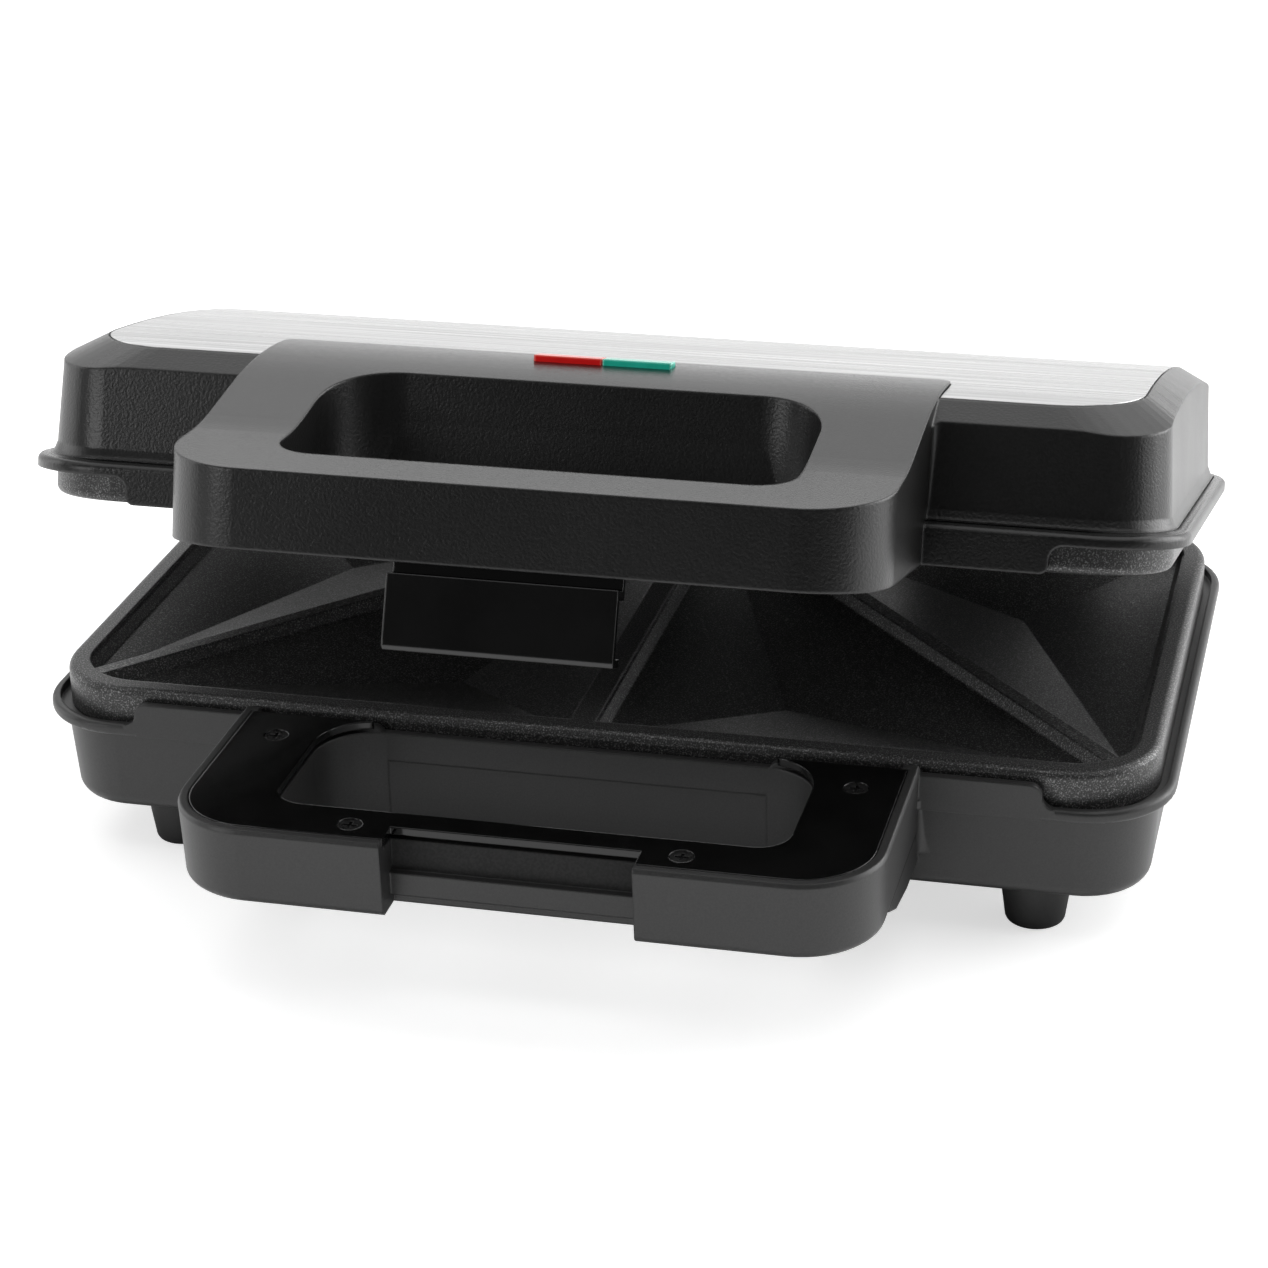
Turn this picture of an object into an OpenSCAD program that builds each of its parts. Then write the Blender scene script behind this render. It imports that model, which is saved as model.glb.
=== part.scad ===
// Sandwich toaster with a hinged lid, two folding halves and a swinging latch clip.
// Millimetres. X runs left to right, Y front to back (the handles point to -Y), Z up.
// The origin is on the table, under the middle of the overall box.
// The lid is drawn closed and then turned open about the hinge by rest_open.

/* [Overall size] */
// Width over the flange
flange_w = 285; // [230:1:345]
// Depth over the flange, without handles
flange_d = 163; // [134:1:198]
// Plan corner radius of the flange
flange_r = 22; // [16:0.5:26]
// Wall thickness of the mouldings
wall_t = 2.4; // [1.8:0.1:3.2]

/* [Base housing] */
// Height of the feet, and so of the base's underside
foot_h = 13; // [9:0.5:18]
// Height of the base tub, from its underside to the crease under the flange
tub_h = 23.2; // [19:0.1:28]
// Thickness of the flange edge
flange_t = 3.2; // [2.6:0.1:6]
// How far the tub wall lies inside the flange at the crease
tub_in_top = 3.7; // [3:0.1:7]
// How far the tub wall lies inside the flange at the bottom
tub_in_bot = 5.4; // [4:0.1:9]
// Radius of the tub's bottom edge
tub_edge_r = 4; // [2:0.5:6]
// Height of the raised front wall over the flange's top
front_wall_h = 6; // [3:0.5:8]
// Half width of the raised front wall
front_wall_hw = 113; // [95:1:125]
// Half width of its lowered middle, between the feet of its two curves
front_dip_hw = 45.5; // [30:0.5:52]
// Height of the lowered middle over the flange's top
front_dip_h = 1; // [0.5:0.5:3]

/* [Feet] */
// Foot diameter at the top
foot_d_top = 18; // [12:0.5:22]
// Foot diameter at the table
foot_d_bot = 14.5; // [9:0.5:18]
// Foot centre, inward from the flange's side
foot_in_x = 32.5; // [24:0.5:45]
// Foot centre, inward from the flange's front and back
foot_in_y = 19.5; // [16:0.5:30]

/* [Plates] */
// Gap between flange outline and plate, left and right
plate_in_x = 4; // [3:0.1:6]
// Gap between flange outline and plate, front and back
plate_in_y = 3.5; // [3:0.1:6]
// Plan corner radius of the plates
plate_r = 21.5; // [14:0.5:24]
// Height of a plate's side
plate_h = 10.1; // [8:0.1:14]
// Rounding of the rim
rim_r = 2; // [1:0.5:3]
// Flat width of the rim round the pockets
rim_w = 5.5; // [4:0.5:8]
// Width of the divider between the two pockets
divider_w = 6; // [4:0.5:12]
// Width of the diagonal ridge at its crest
ridge_w = 3; // [2:0.5:6]
// Depth of the crest of the diagonal ridge under the rim
ridge_drop = 1; // [0.5:0.5:3]
// Depth of the steep edge of each pocket
pocket_edge = 4; // [3:0.5:6]
// Depth of each pocket at its lowest point
pocket_depth = 12; // [8:0.5:15]
// Metal thickness of the plates
plate_t = 2.8; // [2:0.1:4]
// Gap between the two rims when closed
close_gap = 0.2; // [0.2:0.1:1]

/* [Lower handle] */
// Half width of the lower handle
lh_hw = 84; // [70:1:100]
// How far the lower handle stands out from the flange
lh_reach = 61.5; // [50:0.5:75]
// Plan corner radius of both handles
handle_r = 20; // [12:0.5:26]
// Height of the lower handle
lh_h = 19.2; // [16:0.1:24]
// Top of the lower handle over the flange's top
lh_rise = 7.5; // [6:0.5:9]
// Depth of the front bar of both handles
bar_d = 16; // [14:0.5:24]
// Half width of the lower grip opening
lh_open_hw = 61.3; // [50:0.5:70]
// Corner radius at the front of the openings
open_r_front = 8; // [5:0.5:12]
// Corner radius at the back of the openings
open_r_back = 14; // [8:0.5:18]
// Thickness of the gloss cover
cover_t = 2; // [1.8:0.1:4]
// Clearance round the gloss cover and other trim
trim_clear = 0.3; // [0.2:0.05:0.6]
// Head diameter of the cover screws
screw_head_d = 5.5; // [4:0.5:7]
// Shank diameter of the screws
screw_d = 3; // [2.5:0.1:4]
// Clearance of a shank in its hole
screw_clear = 0.05; // [0.02:0.01:0.1]

/* [Latch] */
// Width of the clip
clip_w = 52.5; // [40:0.5:70]
// Clearance at each side of the clip in the handle's notch
notch_clear = 3.3; // [2:0.1:6]
// Depth of the notch in the lower handle's front
notch_d = 9; // [8:0.5:11]
// Height of the clip's face
clip_h = 17; // [14:0.5:22]
// Thickness of the clip's face
clip_t = 2.2; // [1.6:0.1:3]
// Diameter of the latch pin
latch_pin_d = 3; // [2:0.1:4]
// Outward tilt of the clip at rest, in degrees
latch_rest = 8; // [6:1:12]
// Depth of catch under the lower handle
catch_reach = 1.4; // [1:0.1:2.5]
// Clearance under the catch
catch_clear = 0.4; // [0.2:0.1:0.8]

/* [Lid] */
// How far the lid stands open at rest, in degrees
rest_open = 15.5; // [0:0.5:40]
// Height of the lid's flange over the closing plane
lid_flange_h = 10; // [8:0.1:13]
// Concave radius between the lid's flange and its wall
lid_fillet_r = 3; // [2:0.5:4]
// How far the lid wall lies inside the flange at the fillet
lid_in_low = 4.8; // [4.5:0.1:8]
// Draft of the lid wall, in degrees
lid_draft = 3.5; // [1:0.5:6]
// Height of the steel panel's crown over the closing plane
crown_h = 41.7; // [34:0.1:50]
// Radius of the crown, front to back
crown_r = 594; // [300:2:1200]
// How far the steel panel lies inside the flange
steel_in = 13.7; // [10:0.1:20]
// Plan corner radius of the steel panel
steel_r = 20; // [12:0.5:28]
// Thickness of the steel panel
steel_t = 0.8; // [0.5:0.1:1.5]
// Gap round the steel panel
steel_gap = 0.5; // [0.3:0.1:1]
// Thickness of the lid's roof under the steel panel
roof_t = 2.5; // [1.8:0.1:4]
// Half width of the front skirt
skirt_hw = 112; // [95:1:125]
// Depth of the corner cut-outs over the skirt's lower edge
skirt_cut = 6.7; // [4:0.1:8]

/* [Upper handle] */
// Half width of the upper handle
uh_hw = 83; // [70:1:100]
// How far the upper handle stands out from the flange
uh_reach = 59.5; // [50:0.5:75]
// Height of the upper handle's front face
uh_front_h = 18.1; // [14:0.1:24]
// How far the handle reaches over the steel panel, from the flange's front
uh_over = 34; // [28:0.5:40]
// Rounding of the two corners that lie on the steel panel
uh_back_r = 3.5; // [1:0.5:8]
// Wall thickness of its hollow arms
uh_wall = 3; // [2:0.1:4]
// Thickness of the closing plates under the arms
uh_cover_t = 2; // [1.8:0.1:3]
// Half width of the upper grip opening
uh_open_hw = 60; // [50:0.5:70]
// Length of the indicator slot
window_w = 34; // [28:0.5:44]
// Width of the indicator slot
window_d = 5.4; // [4:0.1:8]

/* [Hinge] */
// Hinge axis behind the flange
hinge_back = 20.5; // [18:0.5:26]
// Hinge axis over the flange's top
hinge_up = 19; // [17:0.5:24]
// Radius of the hinge knuckles
knuckle_r = 9; // [7:0.5:11]
// Width of a base knuckle
knuckle_w = 20; // [14:0.5:28]
// Width of each lid cheek beside it
cheek_w = 9; // [6:0.5:14]
// Distance of the knuckles from the middle
knuckle_x = 78; // [60:1:100]
// Diameter of the hinge pins
hinge_pin_d = 6; // [4:0.5:8]
// Radial clearance of the hinge pins
pin_clear = 0.05; // [0.02:0.01:0.1]
// Side gap between knuckle and cheek
side_gap = 0.4; // [0.3:0.05:1]

/* [Inside] */
// Diameter of the heating elements
element_d = 6.4; // [5:0.1:8]
// Thickness of the reflector pans
reflector_t = 0.8; // [0.5:0.1:1.5]
// Bore of the cord inlet
cord_bore_d = 7.8; // [6:0.1:10]

/* [Output] */
// Piece to build

/* [Hidden] */
$fn = 48;
eps = 0.01;

// Levels
hx = flange_w / 2;
hy = flange_d / 2;
crease_z = foot_h + tub_h;
flange_top = crease_z + flange_t;
shelf_z = flange_top - 2;
plate_z0 = shelf_z + 0.2;
plate_top = plate_z0 + plate_h;
close_z = plate_top + close_gap / 2;
lh_top = flange_top + lh_rise;
lh_z0 = lh_top - lh_h;
plate_w = flange_w - 2 * plate_in_x;
plate_d = flange_d - 2 * plate_in_y;

// Lid levels, lid closed
skirt_z = close_z + 0.2;
cut_z = skirt_z + skirt_cut;
lid_edge_r = lid_in_low - lid_fillet_r - 0.2;
lid_edge_top = close_z + lid_flange_h;
lid_edge_z = lid_edge_top - lid_edge_r;
lid_wall_z = lid_edge_top + lid_fillet_r;
crown_z = close_z + crown_h;
lid_shelf_z = 2 * close_z - shelf_z;
lid_ceiling = crown_z - 12.6;
lid_blank_z = crown_z + 8;

// Lower handle
lh_front = -(hy + lh_reach);
lh_open_front = lh_front + bar_d;
notch_hw = clip_w / 2 + notch_clear;
notch_back = lh_front + notch_d;
cover_z0 = lh_top - cover_t;
cover_in = wall_t + trim_clear;
cover_back = -(hy + trim_clear);
floor_top = lh_z0 + 2.2;
catch_wall = 2;
side_screw = [lh_hw - 12.8, -(hy + 12)];
bar_screw = [39, lh_front + 8.5];

// Upper handle
uh_front = -(hy + uh_reach);
uh_z0 = close_z + 0.4;
uh_front_top = uh_z0 + uh_front_h;
uh_back = -hy + uh_over;
uh_open_front = uh_front + 15;
uh_open_back = -(hy - 5.5);
window_y = -hy + uh_over - 8.9;
uh_mid_hw = clip_w / 2 + 7;
uh_seat_in = uh_wall - 1.4;
uh_seat_back = -(hy + 1.2);
uh_side_screw = [uh_hw - 11.5, -(hy + 12)];
uh_bar_screw = [uh_hw - 27, (uh_front + uh_open_front) / 2];

// Latch
pin_y = uh_front + 5.6;
pin_z = uh_z0 + 3.4;
clip_top = uh_z0 - 3.2;
clip_bot = clip_top - clip_h;
catch_top = clip_bot + 2;
catch_z0 = catch_top + catch_clear;
catch_ledge = catch_z0 + 5.7;
catch_tip = lh_front + notch_d - catch_wall + catch_reach;

// Hinge
hinge_y = hy + hinge_back;
hinge_z = flange_top + hinge_up;
gland_y0 = hinge_y + 6;
gland_len = 10;
rear_y = gland_y0 + gland_len;
y_shift = -(lh_front + rear_y) / 2;

// Plates: pocket corners, right-hand pocket
px0 = divider_w / 2;
px1 = plate_w / 2 - rim_w;
py1 = plate_d / 2 - rim_w;
boss_x = plate_w / 2 - 38.5;
boss_y = plate_d / 2 - 30;
pad_z = plate_top - 15.5;
reflector_z = pad_z - element_d - 2.1;
boss_z0 = reflector_z + reflector_t;
loop_x = plate_w / 2 - 56;
loop_y = plate_d / 2 - 40;
loop_r = 16;

// ---------- helpers ----------

// Exact rounded rectangle
module rrect(w, d, r) {
    square([w - 2 * r, d], center = true);
    square([w, d - 2 * r], center = true);
    for (sx = [-1, 1])
        for (sy = [-1, 1])
            translate([sx * (w / 2 - r), sy * (d / 2 - r)])
                circle(r = r);
}

// Opening outline with its own front and back corner radii
module opening2d(hw, y0, y1, rf, rb) {
    translate([-hw, y0 + rf])
        square([2 * hw, y1 - y0 - rf - rb]);
    translate([-(hw - rf), y0])
        square([2 * (hw - rf), y1 - y0 - rb]);
    translate([-(hw - rb), y0 + rf])
        square([2 * (hw - rb), y1 - y0 - rf]);
    for (sx = [-1, 1]) {
        translate([sx * (hw - rf), y0 + rf])
            circle(r = rf);
        translate([sx * (hw - rb), y1 - rb])
            circle(r = rb);
    }
}

// Plan of a handle: rounded front corners, open back, concave corners where it meets a wall
module handle2d(hw, y0, y1, r) {
    translate([-hw, y0 + r])
        square([2 * hw, y1 - y0 - r]);
    translate([-(hw - r), y0])
        square([2 * (hw - r), y1 - y0]);
    for (sx = [-1, 1])
        translate([sx * (hw - r), y0 + r])
            circle(r = r);
}

// Filler of a concave corner at [x, y], opening towards -Y and away from the middle
module root2d(x, y, r) {
    for (m = [0, 1])
        mirror([m, 0])
            difference() {
                translate([x - 1, y - r])
                    square([r + 1, r + 1]);
                translate([x + r, y - r])
                    circle(r = r);
            }
}

// Sweeps a wall profile (x outward from the outline, y up) round a rounded rectangle
module skin(w, d, r) {
    for (s = [0, 180])
        rotate([0, 0, s]) {
            translate([w / 2, 0, 0])
                rotate([90, 0, 0])
                    linear_extrude(height = d - 2 * r, center = true)
                        children();
            rotate([0, 0, 90])
                translate([d / 2, 0, 0])
                    rotate([90, 0, 0])
                        linear_extrude(height = w - 2 * r, center = true)
                            children();
            translate([w / 2 - r, d / 2 - r, 0])
                rotate_extrude(angle = 90)
                    translate([r, 0])
                        children();
            translate([-(w / 2 - r), d / 2 - r, 0])
                rotate([0, 0, 90])
                    rotate_extrude(angle = 90)
                        translate([r, 0])
                            children();
        }
}

// Sweeps a wall profile round the front of a handle
module handle_skin(hw, y0, y1, r) {
    translate([0, y0, 0])
        rotate([0, 0, -90])
            rotate([90, 0, 0])
                linear_extrude(height = 2 * (hw - r), center = true)
                    children();
    for (m = [0, 1])
        mirror([m, 0, 0]) {
            translate([hw, y1, 0])
                rotate([90, 0, 0])
                    linear_extrude(height = y1 - y0 - r)
                        children();
            translate([hw - r, y0 + r, 0])
                rotate([0, 0, -90])
                    rotate_extrude(angle = 90)
                        translate([r, 0])
                            children();
        }
}

module slab(z0, z1) {
    translate([0, 0, z0])
        linear_extrude(height = z1 - z0)
            children();
}

// Draws a side profile (x = Y, y = Z) and extrudes it along X, centred on x
module side_on(x, w) {
    translate([x - w / 2, 0, 0])
        rotate([90, 0, 90])
            linear_extrude(height = w)
                children();
}

// Draws a front view (x = X, y = Z) and extrudes it back from y0
module front_on(y0, t) {
    translate([0, y0 + t, 0])
        rotate([90, 0, 0])
            linear_extrude(height = t)
                children();
}

module along_y(x, y0, y1, z, r) {
    translate([x, y1, z])
        rotate([90, 0, 0])
            cylinder(h = y1 - y0, r = r);
}

module along_x(x0, x1, y, z, r) {
    translate([x0, y, z])
        rotate([0, 90, 0])
            cylinder(h = x1 - x0, r = r);
}

// Straight wire from a to b with a round end
module wire(a, b, r) {
    d = b - a;
    l = norm(d);
    translate(a)
        rotate([0, acos(d[2] / l), atan2(d[1], d[0])])
            cylinder(h = l, r = r);
    translate(b)
        sphere(r = r * 1.05);
}

// Opens the lid to its rest position
module lid_pose() {
    translate([0, hinge_y, hinge_z])
        rotate([-rest_open, 0, 0])
            translate([0, -hinge_y, -hinge_z])
                children();
}

// Turns what is drawn for the base over, to face it across the closing plane
module over() {
    translate([0, 0, 2 * close_z])
        mirror([0, 0, 1])
            children();
}

function tangent_angle(p, c, r, side) =
    atan2(p[1] - c[1], p[0] - c[0]) + side * acos(r / norm(p - c));
function tangent(p, c, r, side) =
    c + r * [cos(tangent_angle(p, c, r, side)), sin(tangent_angle(p, c, r, side))];

// ---------- base housing ----------

// Tub wall: draft line, tangent bottom radius, flange with rounded edges
tub_a = atan((tub_in_bot - tub_in_top) / tub_h);
tub_t = (tub_h + tub_edge_r * sin(tub_a) - tub_edge_r) / cos(tub_a);
tub_cu = -tub_in_top - tub_t * sin(tub_a) - tub_edge_r * cos(tub_a);
tub_cz = foot_h + tub_edge_r;
tub_core = 14;

module tub_profile() {
    polygon([[-tub_core, foot_h], [tub_cu, foot_h], [tub_cu, tub_cz],
             [tub_cu + tub_edge_r * cos(tub_a), tub_cz - tub_edge_r * sin(tub_a)],
             [-tub_in_top, crease_z], [-tub_in_top, crease_z + 1], [-tub_core, crease_z + 1]]);
    translate([tub_cu, tub_cz])
        circle(r = tub_edge_r);
    translate([-tub_core, crease_z])
        square([tub_core - 1.2, flange_t]);
    translate([-1.3, crease_z + 1.2])
        square([1.3, flange_t - 2.4]);
    translate([-1.2, crease_z + 1.2])
        circle(r = 1.2);
    translate([-1.2, flange_top - 1.2])
        circle(r = 1.2);
}

// Front wall over the flange: rounded shoulders outside, S-shaped drops to its lowered middle
module front_wall2d() {
    h = front_wall_h;
    r = h / 2;
    s = (h - front_dip_h) / 2;
    for (m = [0, 1])
        mirror([m, 0]) {
            translate([front_dip_hw + s, flange_top - 3])
                square([front_wall_hw - front_dip_hw - s, h + 3 - r]);
            translate([front_dip_hw + s, flange_top - 3])
                square([3 * s, h + 3 - s]);
            translate([front_dip_hw + 2 * s, flange_top - 3])
                square([front_wall_hw - r - front_dip_hw - 2 * s, h + 3]);
            translate([front_wall_hw - r, flange_top + h - r])
                circle(r = r);
            difference() {
                translate([front_wall_hw - eps, flange_top - 1])
                    square([r, r + 1]);
                translate([front_wall_hw + r, flange_top + r])
                    circle(r = r);
            }
            translate([front_dip_hw + 2 * s, flange_top + h - s])
                circle(r = s);
            difference() {
                translate([front_dip_hw - eps, flange_top - 3])
                    square([s + 2 * eps, front_dip_h + 3 + s]);
                translate([front_dip_hw, flange_top + front_dip_h + s])
                    circle(r = s);
            }
        }
    translate([-front_dip_hw, flange_top - 3])
        square([2 * front_dip_hw, front_dip_h + 3]);
}

// Side view of what deepens the handle towards the tub: both arms and the wall behind the grip
module handle_arm_side() {
    polygon([[lh_front + 26, lh_z0 + 1], [lh_front + 26, lh_z0 + 0.3], [lh_front + 36, lh_z0 - 4.2],
             [lh_front + 51, lh_z0 - 6.8], [-hy + 8, lh_z0 - 7.5], [-hy + 8, lh_z0 + 1]]);
}

module lh_profile() {
    translate([-4, lh_z0])
        square([2, lh_h]);
    polygon([[-3, lh_z0 + 2], [-0.7, lh_z0 + 2], [0, lh_top - 1], [-0.5, lh_top], [-3, lh_top]]);
    translate([-2.7, lh_z0 + 2])
        circle(r = 2);
}

module lower_opening2d(grow) {
    opening2d(lh_open_hw + grow, lh_open_front - grow, -hy + grow,
              open_r_front + grow, open_r_back + grow);
}

// Box in the handle's front, back to the depth given
module notch_box(grow, depth, z0, z1) {
    translate([-(notch_hw + grow), lh_front - 5, z0])
        cube([2 * (notch_hw + grow), depth + 5, z1 - z0]);
}

module hinge_post2d() {
    c = [hinge_y, hinge_z];
    polygon([[hy - 8, foot_h + 2], [hinge_y - 6, foot_h + 2], [hinge_y + knuckle_r, hinge_z - 18],
             [hinge_y + knuckle_r, hinge_z], c, [hinge_y - knuckle_r, hinge_z],
             [hinge_y - knuckle_r, hinge_z - 12], [hy + 1, flange_top - 1], [hy - 1, shelf_z - 0.5],
             [hy - 8, shelf_z - 0.5]]);
    translate(c)
        circle(r = knuckle_r);
}

rear_box_hw = 34;
rear_box_z0 = foot_h + 2;
rear_box_top = shelf_z;
rear_in_y = gland_y0 - wall_t;
gland_z = (rear_box_z0 + rear_box_top) / 2;
gland_seat_r = cord_bore_d / 2 + 2.6;
foot_neck_r = 3;

module plate_screw_spots() {
    for (sx = [-1, 1])
        for (sy = [-1, 1])
            translate([sx * boss_x, sy * boss_y, 0])
                children();
}

module foot_spots(sy) {
    for (sx = [-1, 1])
        translate([sx * (hx - foot_in_x), sy * (hy - foot_in_y), 0])
            children();
}

module cover_screw_spots() {
    for (sx = [-1, 1])
        for (p = [side_screw, bar_screw])
            translate([sx * p[0], p[1], 0])
                children();
}

module tub_solid() {
    slab(foot_h, flange_top - 1)
        rrect(flange_w - 2 * tub_core + 1, flange_d - 2 * tub_core + 1, flange_r - tub_core + 0.5);
    skin(flange_w, flange_d, flange_r)
        tub_profile();
    front_on(-hy, 2.05)
        front_wall2d();
}

// Lower handle: thin outer wall with rolled bottom edge, floor, wall round the opening, screw posts
module lower_handle_shell() {
    difference() {
        union() {
            slab(lh_z0, lh_top - 3)
                handle2d(lh_hw - 3, lh_front + 3, -hy + 2, handle_r - 3);
            handle_skin(lh_hw, lh_front, -hy + 2, handle_r)
                lh_profile();
            side_on(0, 2 * (lh_hw - 0.8))
                handle_arm_side();
        }
        difference() {
            slab(floor_top, lh_top + 1)
                handle2d(lh_hw - wall_t, lh_front + wall_t, -hy - 0.2, handle_r - wall_t);
            slab(floor_top - 1, cover_z0)
                lower_opening2d(wall_t);
            notch_box(wall_t, notch_d + wall_t, floor_top - 1, cover_z0);
            cover_screw_spots()
                translate([0, 0, floor_top - 1])
                    cylinder(h = cover_z0 - floor_top + 1, r = 3.4);
        }
        slab(lh_z0 - 10, lh_top + 1)
            lower_opening2d(0);
        // shallow step under the flange's rounded edge, behind the grip
        translate([-(lh_open_hw - open_r_back), -hy - 1, lh_z0 - 10])
            cube([2 * (lh_open_hw - open_r_back), 1.4, crease_z + 11.2 - lh_z0]);
        notch_box(0, notch_d, catch_ledge, lh_top + 1);
        notch_box(0, notch_d - catch_wall, lh_z0 - 1, catch_ledge + 1);
        notch_box(0, notch_d, lh_z0 - 1, catch_z0);
        cover_screw_spots()
            translate([0, 0, floor_top + 3])
                cylinder(h = lh_h, r = screw_d / 2 + screw_clear);
    }
}

module base_housing() {
    color([0.25, 0.25, 0.26])
        difference() {
            union() {
                difference() {
                    tub_solid();
                    slab(foot_h + wall_t, shelf_z + 5)
                        rrect(flange_w - 2 * (tub_in_bot + wall_t), flange_d - 2 * (tub_in_bot + wall_t),
                              flange_r - tub_in_bot);
                    slab(shelf_z, flange_top + front_wall_h + 5)
                        rrect(flange_w - 4.2, flange_d - 4.2, flange_r - 2.1);
                }
                lower_handle_shell();
                slab(crease_z + 0.5, flange_top - 0.5)
                    root2d(lh_hw - 0.7, -hy + 0.2, 2);
                slab(lh_z0 - 5, crease_z + 1)
                    root2d(lh_hw - 0.9, -hy + tub_in_top + 0.9, 3);
                for (m = [0, 1])
                    mirror([m, 0, 0])
                        side_on(knuckle_x, knuckle_w)
                            hinge_post2d();
                slab(rear_box_z0, rear_box_top)
                    translate([0, (hy - 6 + gland_y0) / 2])
                        rrect(2 * rear_box_hw, gland_y0 - hy + 6, 4);
                plate_screw_spots()
                    translate([0, 0, foot_h + 1])
                        cylinder(h = reflector_z - foot_h - 1, r = 5);
            }
            along_x(-knuckle_x - knuckle_w, knuckle_x + knuckle_w, hinge_y, hinge_z,
                    hinge_pin_d / 2 + pin_clear);
            slab(rear_box_z0 + wall_t, rear_box_top - wall_t)
                translate([0, (hy - 12 + rear_in_y) / 2])
                    rrect(2 * (rear_box_hw - wall_t), rear_in_y - hy + 12, 2);
            along_y(0, rear_in_y - 1, gland_y0 + 1, gland_z, gland_seat_r);
            plate_screw_spots() {
                translate([0, 0, foot_h - 1])
                    cylinder(h = 4.2, r = screw_head_d / 2 + 0.5);
                translate([0, 0, foot_h])
                    cylinder(h = tub_h, r = screw_d / 2 + screw_clear);
            }
            for (sy = [-1, 1])
                foot_spots(sy)
                    translate([0, 0, foot_h - 1])
                        cylinder(h = 2.6, r = foot_neck_r + screw_clear);
        }
}

// ---------- feet and trim of the base ----------

module foot() {
    rotate_extrude()
        difference() {
            union() {
                polygon([[0, 0], [foot_d_bot / 2 - 1, 0], [foot_d_bot / 2 - 1, 1],
                         [foot_d_bot / 2 + 0.1, 1], [foot_d_top / 2, foot_h], [0, foot_h]]);
                translate([0, foot_h - 1])
                    square([foot_neck_r, 2.4]);
                intersection() {
                    translate([foot_d_bot / 2 - 1, 1])
                        circle(r = 1);
                    square([foot_d_bot, 2]);
                }
            }
            translate([-1, foot_h + 1.4])
                square([20, 5]);
        }
}

module front_feet() {
    color([0.12, 0.12, 0.12])
        foot_spots(-1)
            foot();
}

module rear_feet() {
    color([0.12, 0.12, 0.12])
        foot_spots(1)
            foot();
}

module lower_handle_cover() {
    color([0.05, 0.05, 0.05])
        difference() {
            slab(cover_z0, lh_top)
                handle2d(lh_hw - cover_in, lh_front + cover_in, cover_back, handle_r - cover_in);
            slab(cover_z0 - 1, lh_top + 1)
                lower_opening2d(0);
            notch_box(0, notch_d, cover_z0 - 1, lh_top + 1);
            cover_screw_spots() {
                cylinder(h = lh_top + 1, r = screw_d / 2 + 0.3);
                translate([0, 0, lh_top - 1.3])
                    cylinder(h = 3, r = screw_head_d / 2 + 0.15);
            }
        }
}

// Pan-head screw, head down to z0, shank of length l below it, cross recess on top
module screw(z0, l, head) {
    difference() {
        union() {
            translate([0, 0, z0])
                cylinder(h = head, r = screw_head_d / 2);
            translate([0, 0, z0 - l])
                cylinder(h = l + head / 2, r = screw_d / 2);
        }
        for (a = [0, 90])
            rotate([0, 0, a])
                translate([-screw_head_d * 0.3, -0.4, z0 + head - 0.7])
                    cube([screw_head_d * 0.6, 0.8, 1]);
    }
}

module cover_screws() {
    color([0.3, 0.3, 0.3])
        cover_screw_spots()
            screw(lh_top - 1.3, 9, 1.15);
}

// ---------- cooking plates ----------

leg_x = px1 - px0;
leg_y = 2 * py1;
alt = leg_x * leg_y / norm([leg_x, leg_y]);
ridge_k = 1 - (ridge_w / 2) / alt;
tri_x = leg_x * ridge_k;
tri_y = leg_y * ridge_k;
in_r = (tri_x + tri_y - norm([tri_x, tri_y])) / 2;
edge_in = 2.2;

// Triangle at the origin's corner, set in by d, at height z
function tri(d, z) =
    let (k = 1 - d / in_r)
    [for (p = [[0, 0], [tri_x, 0], [0, tri_y]])
        [in_r + (p[0] - in_r) * k, in_r + (p[1] - in_r) * k, z]];

// Space of one triangular half pocket: steep edge, then three slopes to its lowest point
module half_pocket(grow, drop) {
    t = plate_top - drop;
    up = 0.5;
    polyhedron(
        points = concat(tri(-grow - edge_in * up / pocket_edge, t + up), tri(edge_in - grow, t - pocket_edge),
                        [[in_r, in_r, t - pocket_depth]]),
        faces = [[2, 1, 0], [0, 1, 4], [0, 4, 3], [1, 2, 5], [1, 5, 4], [2, 0, 3], [2, 3, 5],
                 [3, 4, 6], [4, 5, 6], [5, 3, 6]]);
}

module half_pockets(grow, drop) {
    for (m = [0, 1])
        mirror([m, 0, 0]) {
            translate([px0, -py1, 0])
                half_pocket(grow, drop);
            translate([px1, py1, 0])
                rotate([0, 0, 180])
                    half_pocket(grow, drop);
        }
}

module rim_profile() {
    translate([-rim_w - 6, plate_top - plate_t - 1.5])
        square([rim_w + 6 - rim_r, plate_t + 1.5]);
    translate([-rim_r, plate_top - rim_r])
        circle(r = rim_r);
    translate([-plate_t, plate_z0])
        square([plate_t, plate_h - rim_r]);
}

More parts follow.
